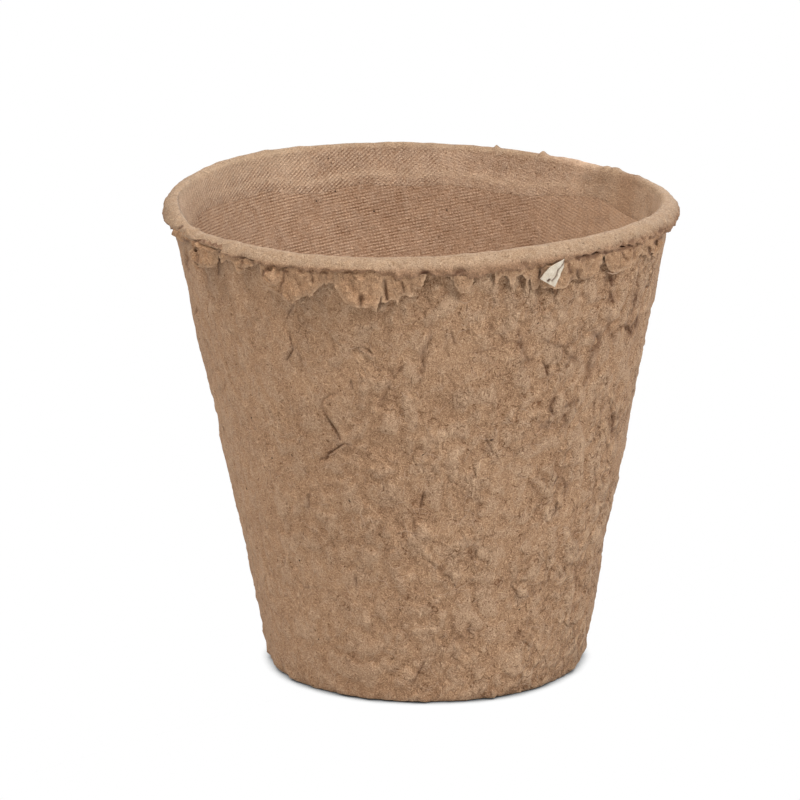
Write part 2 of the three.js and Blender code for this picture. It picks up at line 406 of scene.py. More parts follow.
loose_side = felt.verts.layers.float.new("loose")
crest_height = felt.verts.layers.float.new("crest")
for vert in felt.verts:
    vert[loose_side] = looseness(vert.co)
    if outside.get(vert, True) and vert.co.z > 0.02:
        angle, radius, height = polar(vert.co)
        outward = Vector((math.sin(angle), -math.cos(angle), 0))
        knobs = 0.5 * noise.noise(vert.co / 2.6) + 0.35 * noise.noise(vert.co / 1.1)
        vert[crest_height] = felt_pillows(vert.co)
        vert.co += vert.normal * smooth(0, 0.8, height) * (felt_swell(vert.co) + vert[crest_height])
        vert.co += outward * smooth(2.5, 0.5, height) * knobs


GROOVE_REACH = 2.6  # from a path to the last of the felt that its groove and lip move
GROOVE_STEP = 0.6
# Grooves are painted dark as their shade, fully from this depth on.
FULL_DEPTH = 0.5  # at which a groove is quite dark


def press(path, depth, width, lip):
    """Presses a groove along a path into the felt and raises a lip beside it, both dying out at its ends, and
    paints shade into the groove.
    """
    lengths = [0]
    for start, end in zip(path, path[1:]):
        lengths.append(lengths[-1] + (end - start).length)
    found = {}
    for point in along(path, GROOVE_STEP):
        for _, index, _ in felt_tree.find_range(point, GROOVE_REACH):
            found[index] = felt.verts[index]
    for vert in found.values():
        outward = Vector((vert.co.x, vert.co.y, 0)).normalized()
        spot = vert.co + 0.12 * noise.noise_vector(vert.co / 2.2) + 0.07 * noise.noise_vector(vert.co / 0.6)
        closest = (GROOVE_REACH, 0, 0)
        for n, (start, end) in enumerate(zip(path, path[1:])):
            share = min(1, max(0, intersect_point_line(spot, start, end)[1]))
            gap = spot - start.lerp(end, share)
            distance = (gap - gap.dot(outward) * outward).length
            if distance < closest[0]:
                side = (end - start).cross(outward).dot(gap)
                passed = lengths[n] + share * (lengths[n + 1] - lengths[n])
                closest = (distance, math.copysign(distance, side), passed)
        distance, sideways, travelled = closest
        if distance >= GROOVE_REACH:
            continue
        taper = math.sin(math.pi * min(0.96, max(0.04, travelled / lengths[-1]))) ** 0.5
        groove = math.exp(-(distance / width) ** 2) * taper
        heap = max(0, math.copysign(1, lip) * sideways)
        raised = abs(lip) * taper * math.exp(-((heap - 2 * width) / (2.2 * width)) ** 2) if heap > 0 else 0
        vert.co += outward * (raised - depth * groove)
        # Painted shade in the groove, darker the deeper it is.
        vert[shade_and_spot_layer] = max(vert[shade_and_spot_layer], 0.75 * groove * min(1, depth / FULL_DEPTH))


def gap_to(path, spot):
    """How far a spot is from a path."""
    gaps = []
    for start, end in zip(path, path[1:]):
        share = min(1, max(0, intersect_point_line(spot, start, end)[1]))
        gaps.append((spot - start.lerp(end, share)).length)
    return min(gaps)


felt.verts.ensure_lookup_table()
felt.normal_update()
felt_tree = tree_of([vert.co.copy() for vert in felt.verts])
for stroke in strokes:
    press(*stroke)

# Painted shade in the seen grooves and in the hollow round each, laid where the lens sees them. Their
# half-widths, in pixels, are a least one and a share of the groove's width. Where the wall turns away, only
# the far side of a groove shows, and the shade is painted on it.
GROOVE_SHADE_LEAST = 0.4
GROOVE_SHADE_SPREAD = 2.2
HOLLOW_LEAST = 1
HOLLOW_SPREAD = 7
GROOVE_SHADE_REACH = 1.8
DARKEST = 1.15
for n, (path, depth, width, _) in enumerate(SLITS + FOLDS):
    core, hollow = (1, 0.35) if n < len(SLITS) else (0.8, 0.6)
    seen_path = [Vector(pixel) for pixel in path]
    for point in along([on_wall(pixel) for pixel in path], GROOVE_STEP):
        for _, index, _ in felt_tree.find_range(point, GROOVE_SHADE_REACH):
            vert = felt.verts[index]
            ragged = 0.7 * noise.noise_vector(vert.co / 0.5).to_2d()
            gap = gap_to(seen_path, Vector(seen_at(vert.co)) + ragged)
            groove_shade = core * math.exp(-(gap / (GROOVE_SHADE_LEAST + GROOVE_SHADE_SPREAD * width)) ** 2)
            dim = hollow * math.exp(-(gap / (HOLLOW_LEAST + HOLLOW_SPREAD * width)) ** 2)
            dark = min(DARKEST, depth / FULL_DEPTH) * max(groove_shade, dim)
            vert[shade_and_spot_layer] = max(vert[shade_and_spot_layer], dark)


class Shade:
    """A value in a material's node tree. Arithmetic on it adds Math nodes, and node() adds any other node."""

    def __init__(self, tree, socket=None):
        self.tree = tree
        self.socket = socket

    def node(self, kind, settings=None, sockets=None, output=0):
        made = self.tree.nodes.new(kind)
        for name, value in (settings or {}).items():
            setattr(made, name, value)
        for name, value in (sockets or {}).items():
            if isinstance(value, Shade):
                self.tree.links.new(value.socket, made.inputs[name])
            else:
                made.inputs[name].default_value = value
        return Shade(self.tree, made.outputs[output])

    def other(self, output):
        """Another output of the node that this value comes from."""
        return Shade(self.tree, self.socket.node.outputs[output])

    def math(self, operation, first, second=0.0):
        return self.node("ShaderNodeMath", {"operation": operation}, {0: first, 1: second})

    def __add__(self, other):
        return self.math("ADD", self, other)

    def __radd__(self, other):
        return self.math("ADD", other, self)

    def __sub__(self, other):
        return self.math("SUBTRACT", self, other)

    def __rsub__(self, other):
        return self.math("SUBTRACT", other, self)

    def __mul__(self, other):
        return self.math("MULTIPLY", self, other)

    def __rmul__(self, other):
        return self.math("MULTIPLY", other, self)

    def grain(self, size, detail=2.0, turned=(0, 0, 0)):
        """Cloudy noise from 0 to 1, with grains of one size, or of three sizes along turned axes."""
        sizes = size if isinstance(size, tuple) else (size, size, size)
        place = self.node(
            "ShaderNodeMapping", {"vector_type": "TEXTURE"},
            {"Vector": self, "Rotation": turned, "Scale": [s * MM for s in sizes]})
        return self.node("ShaderNodeTexNoise", None, {"Vector": place, "Scale": 1.0, "Detail": detail})

    def between(self, low, high):
        """0 below low, 1 above high, and an even curve between."""
        return self.node(
            "ShaderNodeMapRange", {"interpolation_type": "SMOOTHSTEP"},
            {"Value": self, "From Min": low, "From Max": high})

    def mixed(self, first, second):
        """The first colour where this value is 0, the second where it is 1."""
        return self.node("ShaderNodeMix", {"data_type": "RGBA"}, {0: self, 6: first, 7: second}, 2)


def paint(red, green, blue):
    """A colour from its usual 0 to 255 levels."""
    levels = [level / 255 for level in (red, green, blue)]
    return [((v + 0.055) / 1.055) ** 2.4 if v > 0.04045 else v / 12.92 for v in levels] + [1]


# Brown of the painted shade in creases, grooves, crevices, hollows and pits, and of the scrap's own dark
# spot.
SHADE_AND_SPOT_BROWN = paint(84, 48, 27)
# Pale near the flash's torn edges, and of the painted light on the rim's inner ridge and inner band.
EDGE_AND_LIGHT_PALE = paint(214, 182, 150)
DRY_ROUGHNESS = 0.85
DRY_SHEEN = 0.4
SEAM_PIXEL = (536, 212)
SCREEN_SEAM = seen_on(SEAM_PIXEL, inner_radius, far=True)[0]
WIRE_PITCH = 0.505
FLOOR_IMPRINT = 0.8  # strength of the weave on the floor, against 1 on the wall


def weave_of(shade, place, seam, askew):
    """The imprint of the screen, round 0.5, lighter on its wires and darker in its holes as painted light and
    shade of its relief.

    Round the wall the screen is two flat pieces of wire cloth bent to half a cone each, so its wires run
    straight over the unrolled cone, and they turn against each other at the seams. Beyond the seam the
    imprint is fainter and lighter, the lightness being painted light. Over the floor, where there is no seam,
    the cloth is flat.
    """
    if seam is None:
        east = shade.node("ShaderNodeSeparateXYZ", None, {"Vector": place})
        weft, warp = east * (1 / MM), east.other(1) * (1 / MM)
        pressed, paler = FLOOR_IMPRINT, 0.0
    else:
        lean = math.sin(math.atan(TAPER))
        turned = shade.node(
            "ShaderNodeVectorRotate", {"rotation_type": "Z_AXIS"}, {"Vector": place, "Angle": -seam})
        east = shade.node("ShaderNodeSeparateXYZ", None, {"Vector": turned})
        round_seam = shade.math("ARCTAN2", east, east.other(1) * -1)
        unrolled = (round_seam - shade.math("SIGN", round_seam) * (math.pi / 2)) * lean
        from_tip = (east.other(2) * (TAPER / MM) + inner_radius(0)) * (1 / lean)
        past_seam = shade.math("LESS_THAN", round_seam, 0.0)
        turn = unrolled - askew * (1 - past_seam)
        weft = from_tip * shade.math("COSINE", turn)
        warp = from_tip * shade.math("SINE", turn)
        beyond = round_seam * -1
        # Painted light: lighter past the seam.
        painted_light_far = 0.38 * beyond.between(0.5, 0.85) if askew else 0.53 * beyond.between(-0.1, 0.65)
        paler = (0.1 * past_seam + painted_light_far) * beyond.between(2.4, 1.4)
        pressed = (0.6 + 0.4 * round_seam.between(0.1, 0.9)) * (1 - (0.5 if askew else 0.0) * past_seam)
    ripple = place.grain(2.5, 1) * 2 + place.grain(0.8, 1) * 1.4
    wires = 2 * math.pi / WIRE_PITCH
    rows = shade.math("COSINE", weft * wires + ripple)
    columns = shade.math("COSINE", warp * wires + ripple)
    cloth = 0.26 * rows + 0.08 * columns + 0.09 * rows * columns
    worn = place.grain(0.8, 1).between(0.3, 0.65)
    return 0.5 + paler + pressed * (0.25 + 1.1 * worn) * cloth


def pulp(name, dark, light, inside=None, under=None, grit=1.0, seam=SCREEN_SEAM, askew=0.0, imprint=0.86):
    """A felt of paper fibres, mottled and grained, from a dark colour to a light one.

    inside and under are further pairs of colours, for the face that lay on the screen, which carries its
    weave, and for the rough underside. grit is the strength of the grain and imprint that of the weave.
    """
    material = bpy.data.materials.new(name)
    material.use_nodes = True
    surface = material.node_tree.nodes["Principled BSDF"]
    shade = Shade(material.node_tree)
    place = shade.node("ShaderNodeTexCoord", output="Object")
    crease_shade_and_spot = shade.node("ShaderNodeAttribute", {"attribute_name": "crease_shade_and_spot"}, output="Fac")
    loose = shade.node("ShaderNodeAttribute", {"attribute_name": "loose"}, output="Fac")
    crest = shade.node("ShaderNodeAttribute", {"attribute_name": "crest"}, output="Fac")

    # Grain of many sizes, from clouds and blotches down to dust, single fibres, wrinkles and fine cracks.
    cloud = place.grain(14, 1) - 0.5
    blotch = place.grain((2.9, 2.9, 3.6)) - 0.5
    mottle = place.grain((1, 1, 1.25)) - 0.5
    dust = place.grain(0.24, 1) - 0.5
    pit = place.grain(0.4, 1).between(0.34, 0.26)
    speck = place.grain(0.34, 1, (0.7, 0.4, 0.2)).between(0.68, 0.78)
    sway = place.grain(1.3, 0).other(1)
    bend = place.node("ShaderNodeVectorMath", {"operation": "SCALE"}, {0: sway, "Scale": 0.7 * MM})
    bent = place.node("ShaderNodeVectorMath", {"operation": "ADD"}, {0: place, 1: bend})
    strand = (0.14, 0.14, 1.7)
    strands = bent.grain(strand, 0, (0.3, 0.2, 0))
    for turned in ((1.2, 0.5, 0.4), (0.5, 1.3, 1.1), (1.7, -0.7, 0.2), (-0.8, 0.6, 2.0)):
        strands = shade.math("MAXIMUM", strands, bent.grain(strand, 0, turned))
    fibre = strands.between(0.58, 0.85) - 0.25
    wrinkle = shade.math("ABSOLUTE", bent.grain((2.6, 2.6, 3.3), 1) - 0.5)
    pucker = shade.math("ABSOLUTE", bent.grain((1.2, 1.2, 1.5), 1) - 0.5)
    crack = shade.math("ABSOLUTE", bent.grain((1.9, 1.9, 2.6), 1, (0.5, 0.3, 0.9)) - 0.5)
    crack = (0.35 + 0.8 * loose) * crack.between(0.022, 0.004) * place.grain(2.4, 1).between(0.52, 0.62)
    creased = (0.35 + 1.3 * loose) * place.grain(8, 1).between(0.3, 0.65)

    # The tone, from the dark colour at 0 to the light one at 1, and the height of the fine relief.
    # The crest term paints the pillows' crests lighter and their valleys darker: painted light and shade.
    tone = 0.46 + 0.14 * cloud + 0.18 * blotch + 0.28 * mottle + 0.3 * crest
    coarse = grit * (0.87 + 0.38 * loose)
    if inside:
        screen = shade.node("ShaderNodeAttribute", {"attribute_name": "screen"}, output="Fac")
        coarse = coarse * (1 - 0.15 * screen)
        creased = creased * (1 - screen)
        crack = crack * (1 - screen)
    # Pits are painted darker as painted shade; dust, fibres and specks are the felt's own grain.
    tone = tone + coarse * (0.6 * dust + 0.45 * fibre - 0.4 * pit + 0.3 * speck)
    # The wrinkles' ridges are painted lighter and their valleys and the cracks darker: painted light and
    # shade.
    tone = tone + creased * (0.9 * wrinkle + 0.4 * pucker - 0.12) - 0.35 * grit * crack
    height = 0.2 * mottle + coarse * (0.1 * dust + 0.05 * fibre - 0.06 * pit)
    height = height + creased * (1.7 * wrinkle + 0.8 * pucker) - 0.1 * grit * crack
    if inside:
        clear = screen * (0.5 + 0.5 * place.grain(5, 1).between(0.28, 0.55))
        weave = (weave_of(shade, place, seam, askew) - 0.5) * clear
        tone = tone + imprint * weave + screen * (0.15 * cloud + 0.15 * blotch)
        height = height + 0.05 * weave
        dark = screen.mixed(dark, inside[0])
        light = screen.mixed(light, inside[1])
    if under:
        rough = shade.node("ShaderNodeAttribute", {"attribute_name": "rough"}, output="Fac")
        rough = (rough + 0.6 * blotch + 0.6 * mottle).between(0.0, 1.0)
        dark = rough.mixed(dark, under[0])
        light = rough.mixed(light, under[1])

    # The colour, redder at random and, as painted warm shade, in the valleys of the pillows; brown with
    # painted shade in creases, grooves, crevices, hollows and pits, and with the scrap's own dark spot; paler
    # near torn edges, and with painted light on the rim's inner ridge and inner band.
    tone = shade.math("MINIMUM", 1.0, shade.math("MAXIMUM", 0.0, tone))
    colour = tone.mixed(dark, light)
    # Redder at random and, as painted warm shade, in the valleys of the pillows; cooler on their crests.
    ruddy_and_valley_shade = (0.5 + 0.35 * (place.grain(3.6) - 0.5) - 1.4 * crest - 0.7 * mottle).between(0.3, 0.7)
    colour = shade.node(
        "ShaderNodeMix", {"data_type": "RGBA", "blend_type": "MULTIPLY"},
        {0: 1.0, 6: colour, 7: ruddy_and_valley_shade.mixed((0.99, 1.005, 1.035, 1), (1.02, 0.985, 0.95, 1))}, 2)
    # Painted shade, brown, in creases, grooves, crevices, hollows and pits, and the scrap's own dark spot.
    colour = shade.math("MINIMUM", 0.92, 0.8 * crease_shade_and_spot).mixed(colour, SHADE_AND_SPOT_BROWN)
    # Paler near the flash's torn edges, and painted light on the rim's inner ridge and inner band at the
    # left.
    edge_pale_and_painted_light = shade.node("ShaderNodeAttribute", {"attribute_name": "edge_pale_and_painted_light"}, output="Fac")
    colour = (0.3 * edge_pale_and_painted_light).mixed(colour, EDGE_AND_LIGHT_PALE)
    bump = shade.node("ShaderNodeBump", None, {"Strength": 1.0, "Distance": MM, "Height": height})
    shade.tree.links.new(colour.socket, surface.inputs["Base Color"])
    shade.tree.links.new(bump.socket, surface.inputs["Normal"])
    surface.inputs["Roughness"].default_value = DRY_ROUGHNESS
    surface.inputs["Specular IOR Level"].default_value = DRY_SHEEN
    return material


WALL_DARK = paint(105, 69, 41)
WALL_LIGHT = paint(198, 163, 129)
wall_pulp = pulp("wall_pulp", WALL_DARK, WALL_LIGHT, inside=(paint(105, 70, 44), paint(199, 164, 134)))
felt_skin = BVHTree.FromBMesh(felt)
finish_piece("side_wall_felt", felt, wall_pulp, "pulp", "side_wall")

# The inside is the other skin, from half-way through the wall to the face that lay on the screen.
SKIN_LAP = 0.05  # of the two skins, half-way through the wall
SKIN_SHORT = 0.1  # by which the inside one ends before the other
SCREEN_DEPTH = 0.3  # a point this near to the inner face lies on it
SCREEN_STEP = 1.2
SCREEN_STEPS_ROUND = 300
screen_low = FLOOR_RISE + SKIN_SHORT
screen_high = wall_up - SKIN_SHORT
screen_face = revolve(
    outline(
        [(mid_radius(FLOOR_RISE) + SKIN_LAP, screen_low), (mid_radius(wall_up) + SKIN_LAP, screen_high),
         (inner_radius(wall_up), screen_high), (inner_radius(FLOOR_RISE), screen_low)],
        {},
        lambda point: SCREEN_STEP if -point.y < inner_radius(point.z) + SCREEN_DEPTH else HIDDEN_STEP),
    SCREEN_STEPS_ROUND)
screen_side = screen_face.verts.layers.float.new("screen")


def screen_dent(angle, height):
    """Slight unevenness of the face that lay on the screen."""
    place = Vector((inner_radius(height) * math.sin(angle), inner_radius(height) * math.cos(angle), height))
    return 0.16 * noise.noise(place / 8) + 0.06 * noise.noise(place / 3)


for vert in screen_face.verts:
    angle, radius, height = polar(vert.co)
    vert[screen_side] = 1.0
    dent = screen_dent(angle, height) if radius < inner_radius(height) + SCREEN_DEPTH else 0
    vert.co = crooked(angle, radius + dent, height)
finish_piece("side_wall_screen_face", screen_face, wall_pulp, "pulp", "side_wall")

# The floor
# The bottom of the cup, pressed up off the ground so that the pot stands on its outer ring, with a hole for
# water. It is one felt with the wall and turns up into it in a cove.
FLOOR_THICKNESS = 1.7
FLOOR_CROWN = 0.5
DRAIN_RADIUS = 4.5
DRAIN_SOFT = 7  # radius at which the drain hole's raggedness ends
COVE_RISE = 1.9
COVE_REACH = 3.2
FLOOR_CLEAR = 0.05  # over the felt of the standing ring
FLOOR_LAP = 0.4  # how far the floor runs into the wall
FLOOR_STEP = 0.8
FLOOR_STEPS_ROUND = 240
floor_under = FLOOR_RISE + FLOOR_CLEAR
floor_top = floor_under + FLOOR_THICKNESS
cove_top = floor_top + COVE_RISE
cove_foot = inner_radius(floor_top) - COVE_REACH
floor_panel = revolve(
    outline(
        [(DRAIN_RADIUS, floor_under + FLOOR_CROWN), (RING_INNER, floor_under),
         (inner_radius(floor_under) + FLOOR_LAP, floor_under), (inner_radius(cove_top) + FLOOR_LAP, cove_top),
         (inner_radius(cove_top) - 0.1, cove_top), (inner_radius(floor_top), floor_top),
         (cove_foot, floor_top), (DRAIN_RADIUS, floor_top + FLOOR_CROWN)],
        {5: 1.6, 7: 0.6, 0: 0.3},
        lambda point: FLOOR_STEP),
    FLOOR_STEPS_ROUND)
screen_side = floor_panel.verts.layers.float.new("screen")
floor_panel.normal_update()
for vert in floor_panel.verts:
    angle, radius, height = polar(vert.co)
    above = smooth(-0.2, 0.4, vert.normal.z)
    ragged = 0.35 * noise.noise(Vector((3 * math.sin(angle), 3 * math.cos(angle), 0)))
    ragged *= smooth(DRAIN_SOFT, DRAIN_RADIUS, radius)
    vert[screen_side] = above
    relief = (1 - above) * felt_swell(vert.co) + above * 0.1 * noise.noise(vert.co / 6)
    off_ring = smooth(RING_INNER + 4, RING_INNER - 2, radius)
    vert.co = crooked(angle, radius + ragged, height + relief * off_ring)
floor_pulp = pulp("floor_pulp", WALL_DARK, WALL_LIGHT, inside=(WALL_DARK, WALL_LIGHT), seam=None)
finish_piece("floor_panel_felt", floor_panel, floor_pulp, "pulp", "floor_panel")

# The rim
# The top edge of the felt, thickened to a round bead where pulp gathered at the screen's edge. Its crown is
# smooth and paler, its underside rough and browner. Inside, its lower edge is a low wavy ridge on the wall,
# painted paler as a painted highlight.
RIDGE_DROP = 4.6
RIDGE_HEIGHT = 0.1
RIDGE_TAIL = 1.8  # below the ridge, where the rim's skirt has run out into the wall
FLARE = 0.6
RIM_STEP = 0.32
RIM_STEPS_ROUND = 720
ridge = CREST - RIDGE_DROP
tail = ridge - RIDGE_TAIL
rim = revolve(
    outline(
        [(RIM_RADIUS, CREST), (RIM_RADIUS, WALL_TOP), (outer_radius(WALL_TOP) - 0.5, WALL_TOP),
         (inner_radius(WALL_TOP) + 0.7, WALL_TOP - 0.1), (inner_radius(tail) + 0.5, tail - 1),
         (inner_radius(tail) + 0.2, tail - 1), (inner_radius(tail), tail),
         (inner_radius(ridge) - RIDGE_HEIGHT, ridge), (inner_radius(ridge + 1.5) - 0.03, ridge + 1.5),
         (inner_radius(WALL_TOP) + FLARE, CREST)],
        {0: 2.0, 1: 1.2, 7: 0.6, 9: 0.7},
        lambda point: RIM_STEP),
    RIM_STEPS_ROUND)
RIDGE_PATH = [
    (208, 195), (236, 189), (261, 179), (292, 182), (319, 182), (336, 177), (363, 172), (390, 174),
    (419, 175), (441, 173), (478, 177), (494, 181), (523, 185), (594, 185),
]
BEAD_UNDER_PATH = [
    (166, 222), (174, 227), (182, 228), (188, 230), (193, 236), (197, 240), (205, 243), (213, 245),
    (221, 248), (224, 256), (230, 258), (238, 260), (248, 262), (256, 263), (262, 266), (270, 268),
    (278, 270), (290, 271), (320, 272), (345, 272), (360, 272), (375, 274), (385, 277), (400, 278),
    (415, 278), (430, 277), (445, 277), (460, 279), (475, 279), (484, 278), (489, 274), (497, 273),
    (508, 272), (520, 270), (530, 269), (540, 266), (550, 264), (560, 262), (575, 260), (590, 258),
    (605, 254), (615, 252), (630, 248), (645, 243), (655, 239), (662, 236), (668, 232),
]
ridge_line = seen_line(RIDGE_PATH, inner_radius, far=True)
bead_under_line = seen_line(BEAD_UNDER_PATH, lambda height: RIM_RADIUS - 0.4)


def far_angle(pixel):
    """The angle at which the lens sees a pixel on the crown of the far rim."""
    return seen_on(pixel, lambda height: RIM_RADIUS - 1.6, far=True)[0]


def near_angle(pixel):
    """The same on the near rim."""
    return seen_on(pixel, lambda height: RIM_RADIUS - 2)[0]


# Nibs that stand up from the far rim: a pixel, the rise and the width of each.
NIBS = [((497, 143), 0.5, 0.3), ((543, 147), 0.5, 0.35), ((546, 148), 0.25, 0.5), ((608, 169), 0.25, 0.7),
        ((616, 170), 0.4, 0.9), ((637, 176), 0.15, 0.3)]
nib_places = [(far_angle(pixel), rise, width) for pixel, rise, width in NIBS]
SAG = 0.55  # of the rim's crest, at the front left
WORN_THIN = 0.8  # off the inside of the bead, at its left end
SAG_PIXEL = (192, 228)
THIN_PIXEL = (178, 214)
sag_angle = near_angle(SAG_PIXEL)
thin_angle = near_angle(THIN_PIXEL)
WINDOW_SOFT = 0.12  # in radians


def torn_window(first, last):
    """1 at the angles between two pixels of the far rim, and 0 away from them."""
    low, high = sorted(far_angle(pixel) % (2 * math.pi) for pixel in (first, last))

    def window(angle):
        turn = angle % (2 * math.pi)
        begun = smooth(low - WINDOW_SOFT, low + WINDOW_SOFT, turn)
        return begun * smooth(high + WINDOW_SOFT, high - WINDOW_SOFT, turn)

    return window


# Stretches of the far rim, each by its first and last pixel.
CREST_TORN = [(624, 172), (646, 181)]
CREST_BARE = [(548, 150), (602, 166)]
CREST_PAINTED_LIT = [(172, 196), (300, 150)]
INSIDE_TORN = [(590, 163), (668, 200)]
crest_torn = torn_window(*CREST_TORN)
crest_bare = torn_window(*CREST_BARE)
crest_painted_lit = torn_window(*CREST_PAINTED_LIT)
inside_torn = torn_window(*INSIDE_TORN)

# Crevices between the bead and the torn flash, painted dark as their shade and pressed a little into the
# bead, as pixel paths with a width in pixels.
CREVICES = [
    ([(169, 227), (171, 233)], 1.2), ([(177, 229), (182, 227)], 0.9), ([(184, 240), (189, 242)], 1.1),
    ([(195, 241), (199, 240.5)], 1.2), ([(202, 240), (204, 242.5)], 1.3), ([(209, 243), (213, 244.5)], 1.3),
    ([(216, 244.5), (222, 245.5)], 1.8), ([(219, 249), (219.5, 254)], 1.2), ([(242, 261), (243, 264)], 1.4),
    ([(253, 262), (255, 266)], 1.5), ([(263, 276), (264, 271), (269, 269.5)], 1.2),
    ([(283, 270), (288, 272)], 1.2), ([(284.5, 272), (283.5, 280), (281, 286)], 1.1),
    ([(300, 271), (303, 272.5)], 1.2), ([(310, 271.5), (313, 273)], 1.2), ([(324, 272), (327, 273)], 1.3),
    ([(345, 272.5), (352, 272)], 1.0), ([(539, 277), (541, 271), (543, 268)], 1.9),
    ([(569, 264), (570, 272)], 1.9), ([(577, 270), (578, 275)], 1.6),
    ([(576, 258.5), (584, 257), (590, 256)], 1.7), ([(587, 257.5), (594, 256), (598, 254)], 1.9),
    ([(604, 253), (612, 251)], 1.4), ([(618, 250), (624, 248.5), (630, 246.5)], 1.7),
    ([(622, 252), (624, 255)], 1.0), ([(633, 248), (637, 246)], 1.3), ([(649, 247), (650, 254)], 1.6),
    ([(655, 243), (658, 239)], 1.8), ([(659, 239), (664, 236.5), (667, 233)], 1.8),
]
crevices = [([Vector(pixel) for pixel in path], width) for path, width in CREVICES]
CREVICE_REACH = 24  # in pixels


def crevice_at(point):
    """How deep in a crevice a point on the near side is, from 0 to 1."""
    if point.y > 0:
        return 0
    ragged = 0.9 * noise.noise_vector(point / 0.5).to_2d()
    spot = Vector(seen_at(point)) + ragged
    deepest = 0
    for path, width in crevices:
        if (path[0] - spot).length < CREVICE_REACH:
            deepest = max(deepest, math.exp(-(gap_to(path, spot) / width) ** 2))
    return deepest


def by_chance(angle, salt):
    """Smooth chance variation round the pot."""
    return noise.noise(Vector((2.5 * math.sin(angle), 2.5 * math.cos(angle), salt)))


def bead_bottom(angle):
    ragged = 0.3 * by_chance(12 * angle, 2) + 0.25 * noise.noise(Vector((angle * RIM_RADIUS / 0.9, 0, 5)))
    return bead_under_line(angle, WALL_TOP + 0.5 * by_chance(angle, 7)) + ragged


INNER_SIDE = 0.9  # depth of the rim that counts as its inner side, from the wall's inner face
screen_side = rim.verts.layers.float.new("screen")
rough_side = rim.verts.layers.float.new("rough")
painted_light_layer = rim.verts.layers.float.new("edge_pale_and_painted_light")
pit_and_crevice_shade_layer = rim.verts.layers.float.new("crease_shade_and_spot")
rim.normal_update()
moves = []
for vert in rim.verts:
    angle, radius, height = polar(vert.co)
    inner_side = radius < inner_radius(WALL_TOP) + INNER_SIDE
    inside = smooth(CREST, CREST - 1.2, height) if inner_side else 0
    under = 0 if inner_side else smooth(CREST - 0.3, CREST - 2.8, height)
    dent = 0
    if inner_side:
        wander = ridge_line(angle, ridge + 0.8 * by_chance(angle, 3)) - ridge
        shift = smooth(CREST - 0.6, ridge, height) * wander
        dent = smooth(CREST - 1, ridge, height) * screen_dent(angle, height + shift)
        dent += RIDGE_HEIGHT * inside_torn(angle) * math.exp(-((height - ridge) / 0.7) ** 2)
    else:
        shift = smooth(CREST - 1.0, WALL_TOP, height) * (bead_bottom(angle) - WALL_TOP)
    torn = inside_torn(angle)
    clean = 1 - 0.8 * math.exp(-((angle - sag_angle) / 0.3) ** 2)
    vert[screen_side] = max(inside * (1 - 0.4 * torn), crest_bare(angle) * (1 - under))
    vert[rough_side] = max(under * clean, 0.7 * crest_torn(angle))
    # The inner ridge is painted paler, a painted highlight.
    vert[painted_light_layer] = 0.8 * (1 - torn) * math.exp(-((height - ridge) / 0.6) ** 2) if inner_side else 0
    if inner_side:
        # A band of the inside at the left is painted paler, as painted light.
        painted_lit = 0.9 * crest_painted_lit(angle) * smooth(ridge - 0.5, CREST - 1.5, height)
        vert[painted_light_layer] = max(vert[painted_light_layer], painted_lit)
    for nib_angle, rise, width in nib_places:
        apart = abs((angle - nib_angle + math.pi) % (2 * math.pi) - math.pi) * RIM_RADIUS
        if apart < 3 * width and not under:
            shift += rise * math.exp(-(apart / width) ** 2) * smooth(CREST - 1.2, CREST, height)
    slope = TAPER * shift if inner_side else 0
    at_top = smooth(CREST - 2.4, CREST - 0.4, height)
    shift -= SAG * at_top * math.exp(-((angle - sag_angle) / 0.2) ** 2)
    if inner_side:
        slope += WORN_THIN * at_top * math.exp(-((angle - thin_angle) / 0.3) ** 2)
    place = crooked(angle, radius + dent + slope, height + shift)
    swell = 0.18 * noise.noise(place / 8) + 0.13 * noise.noise(place / 2.6) + 0.07 * noise.noise(place / 1.1)
    crumbly = 0.15 + 0.5 * smooth(0.8, 1.0, abs(math.remainder(angle, 2 * math.pi)))
    fuzz = 0.7 * (0.25 - abs(noise.noise(place / 2.1))) + 0.25 * noise.noise(place / 0.8)
    fuzz += crumbly * noise.noise(place / 1.1)
    crevice = crevice_at(place) if under > 0.2 else 0
    # Painted shade in the crevices and in the pits of the rough underside.
    vert[pit_and_crevice_shade_layer] = max(crevice, clean * under * smooth(-0.05, -0.4, fuzz))
    raised = swell * (1 - inside) + fuzz * under * clean - 0.25 * crevice
    moves.append((vert, place + vert.normal * raised))
for vert, place in moves:
    vert.co = place
RIM_SEAM_PIXEL = (436, 158)
RIM_SEAM = seen_on(RIM_SEAM_PIXEL, inner_radius, far=True)[0]
rim_pulp = pulp(
    "rim_pulp", paint(119, 92, 68), paint(193, 163, 133), inside=(paint(111, 78, 53), paint(207, 174, 145)),
    under=(paint(98, 67, 44), paint(182, 143, 110)), grit=1.2, seam=RIM_SEAM, askew=0.45, imprint=1.0)
finish_piece("rolled_rim_felt", rim, rim_pulp, "rim_pulp", "rolled_rim")

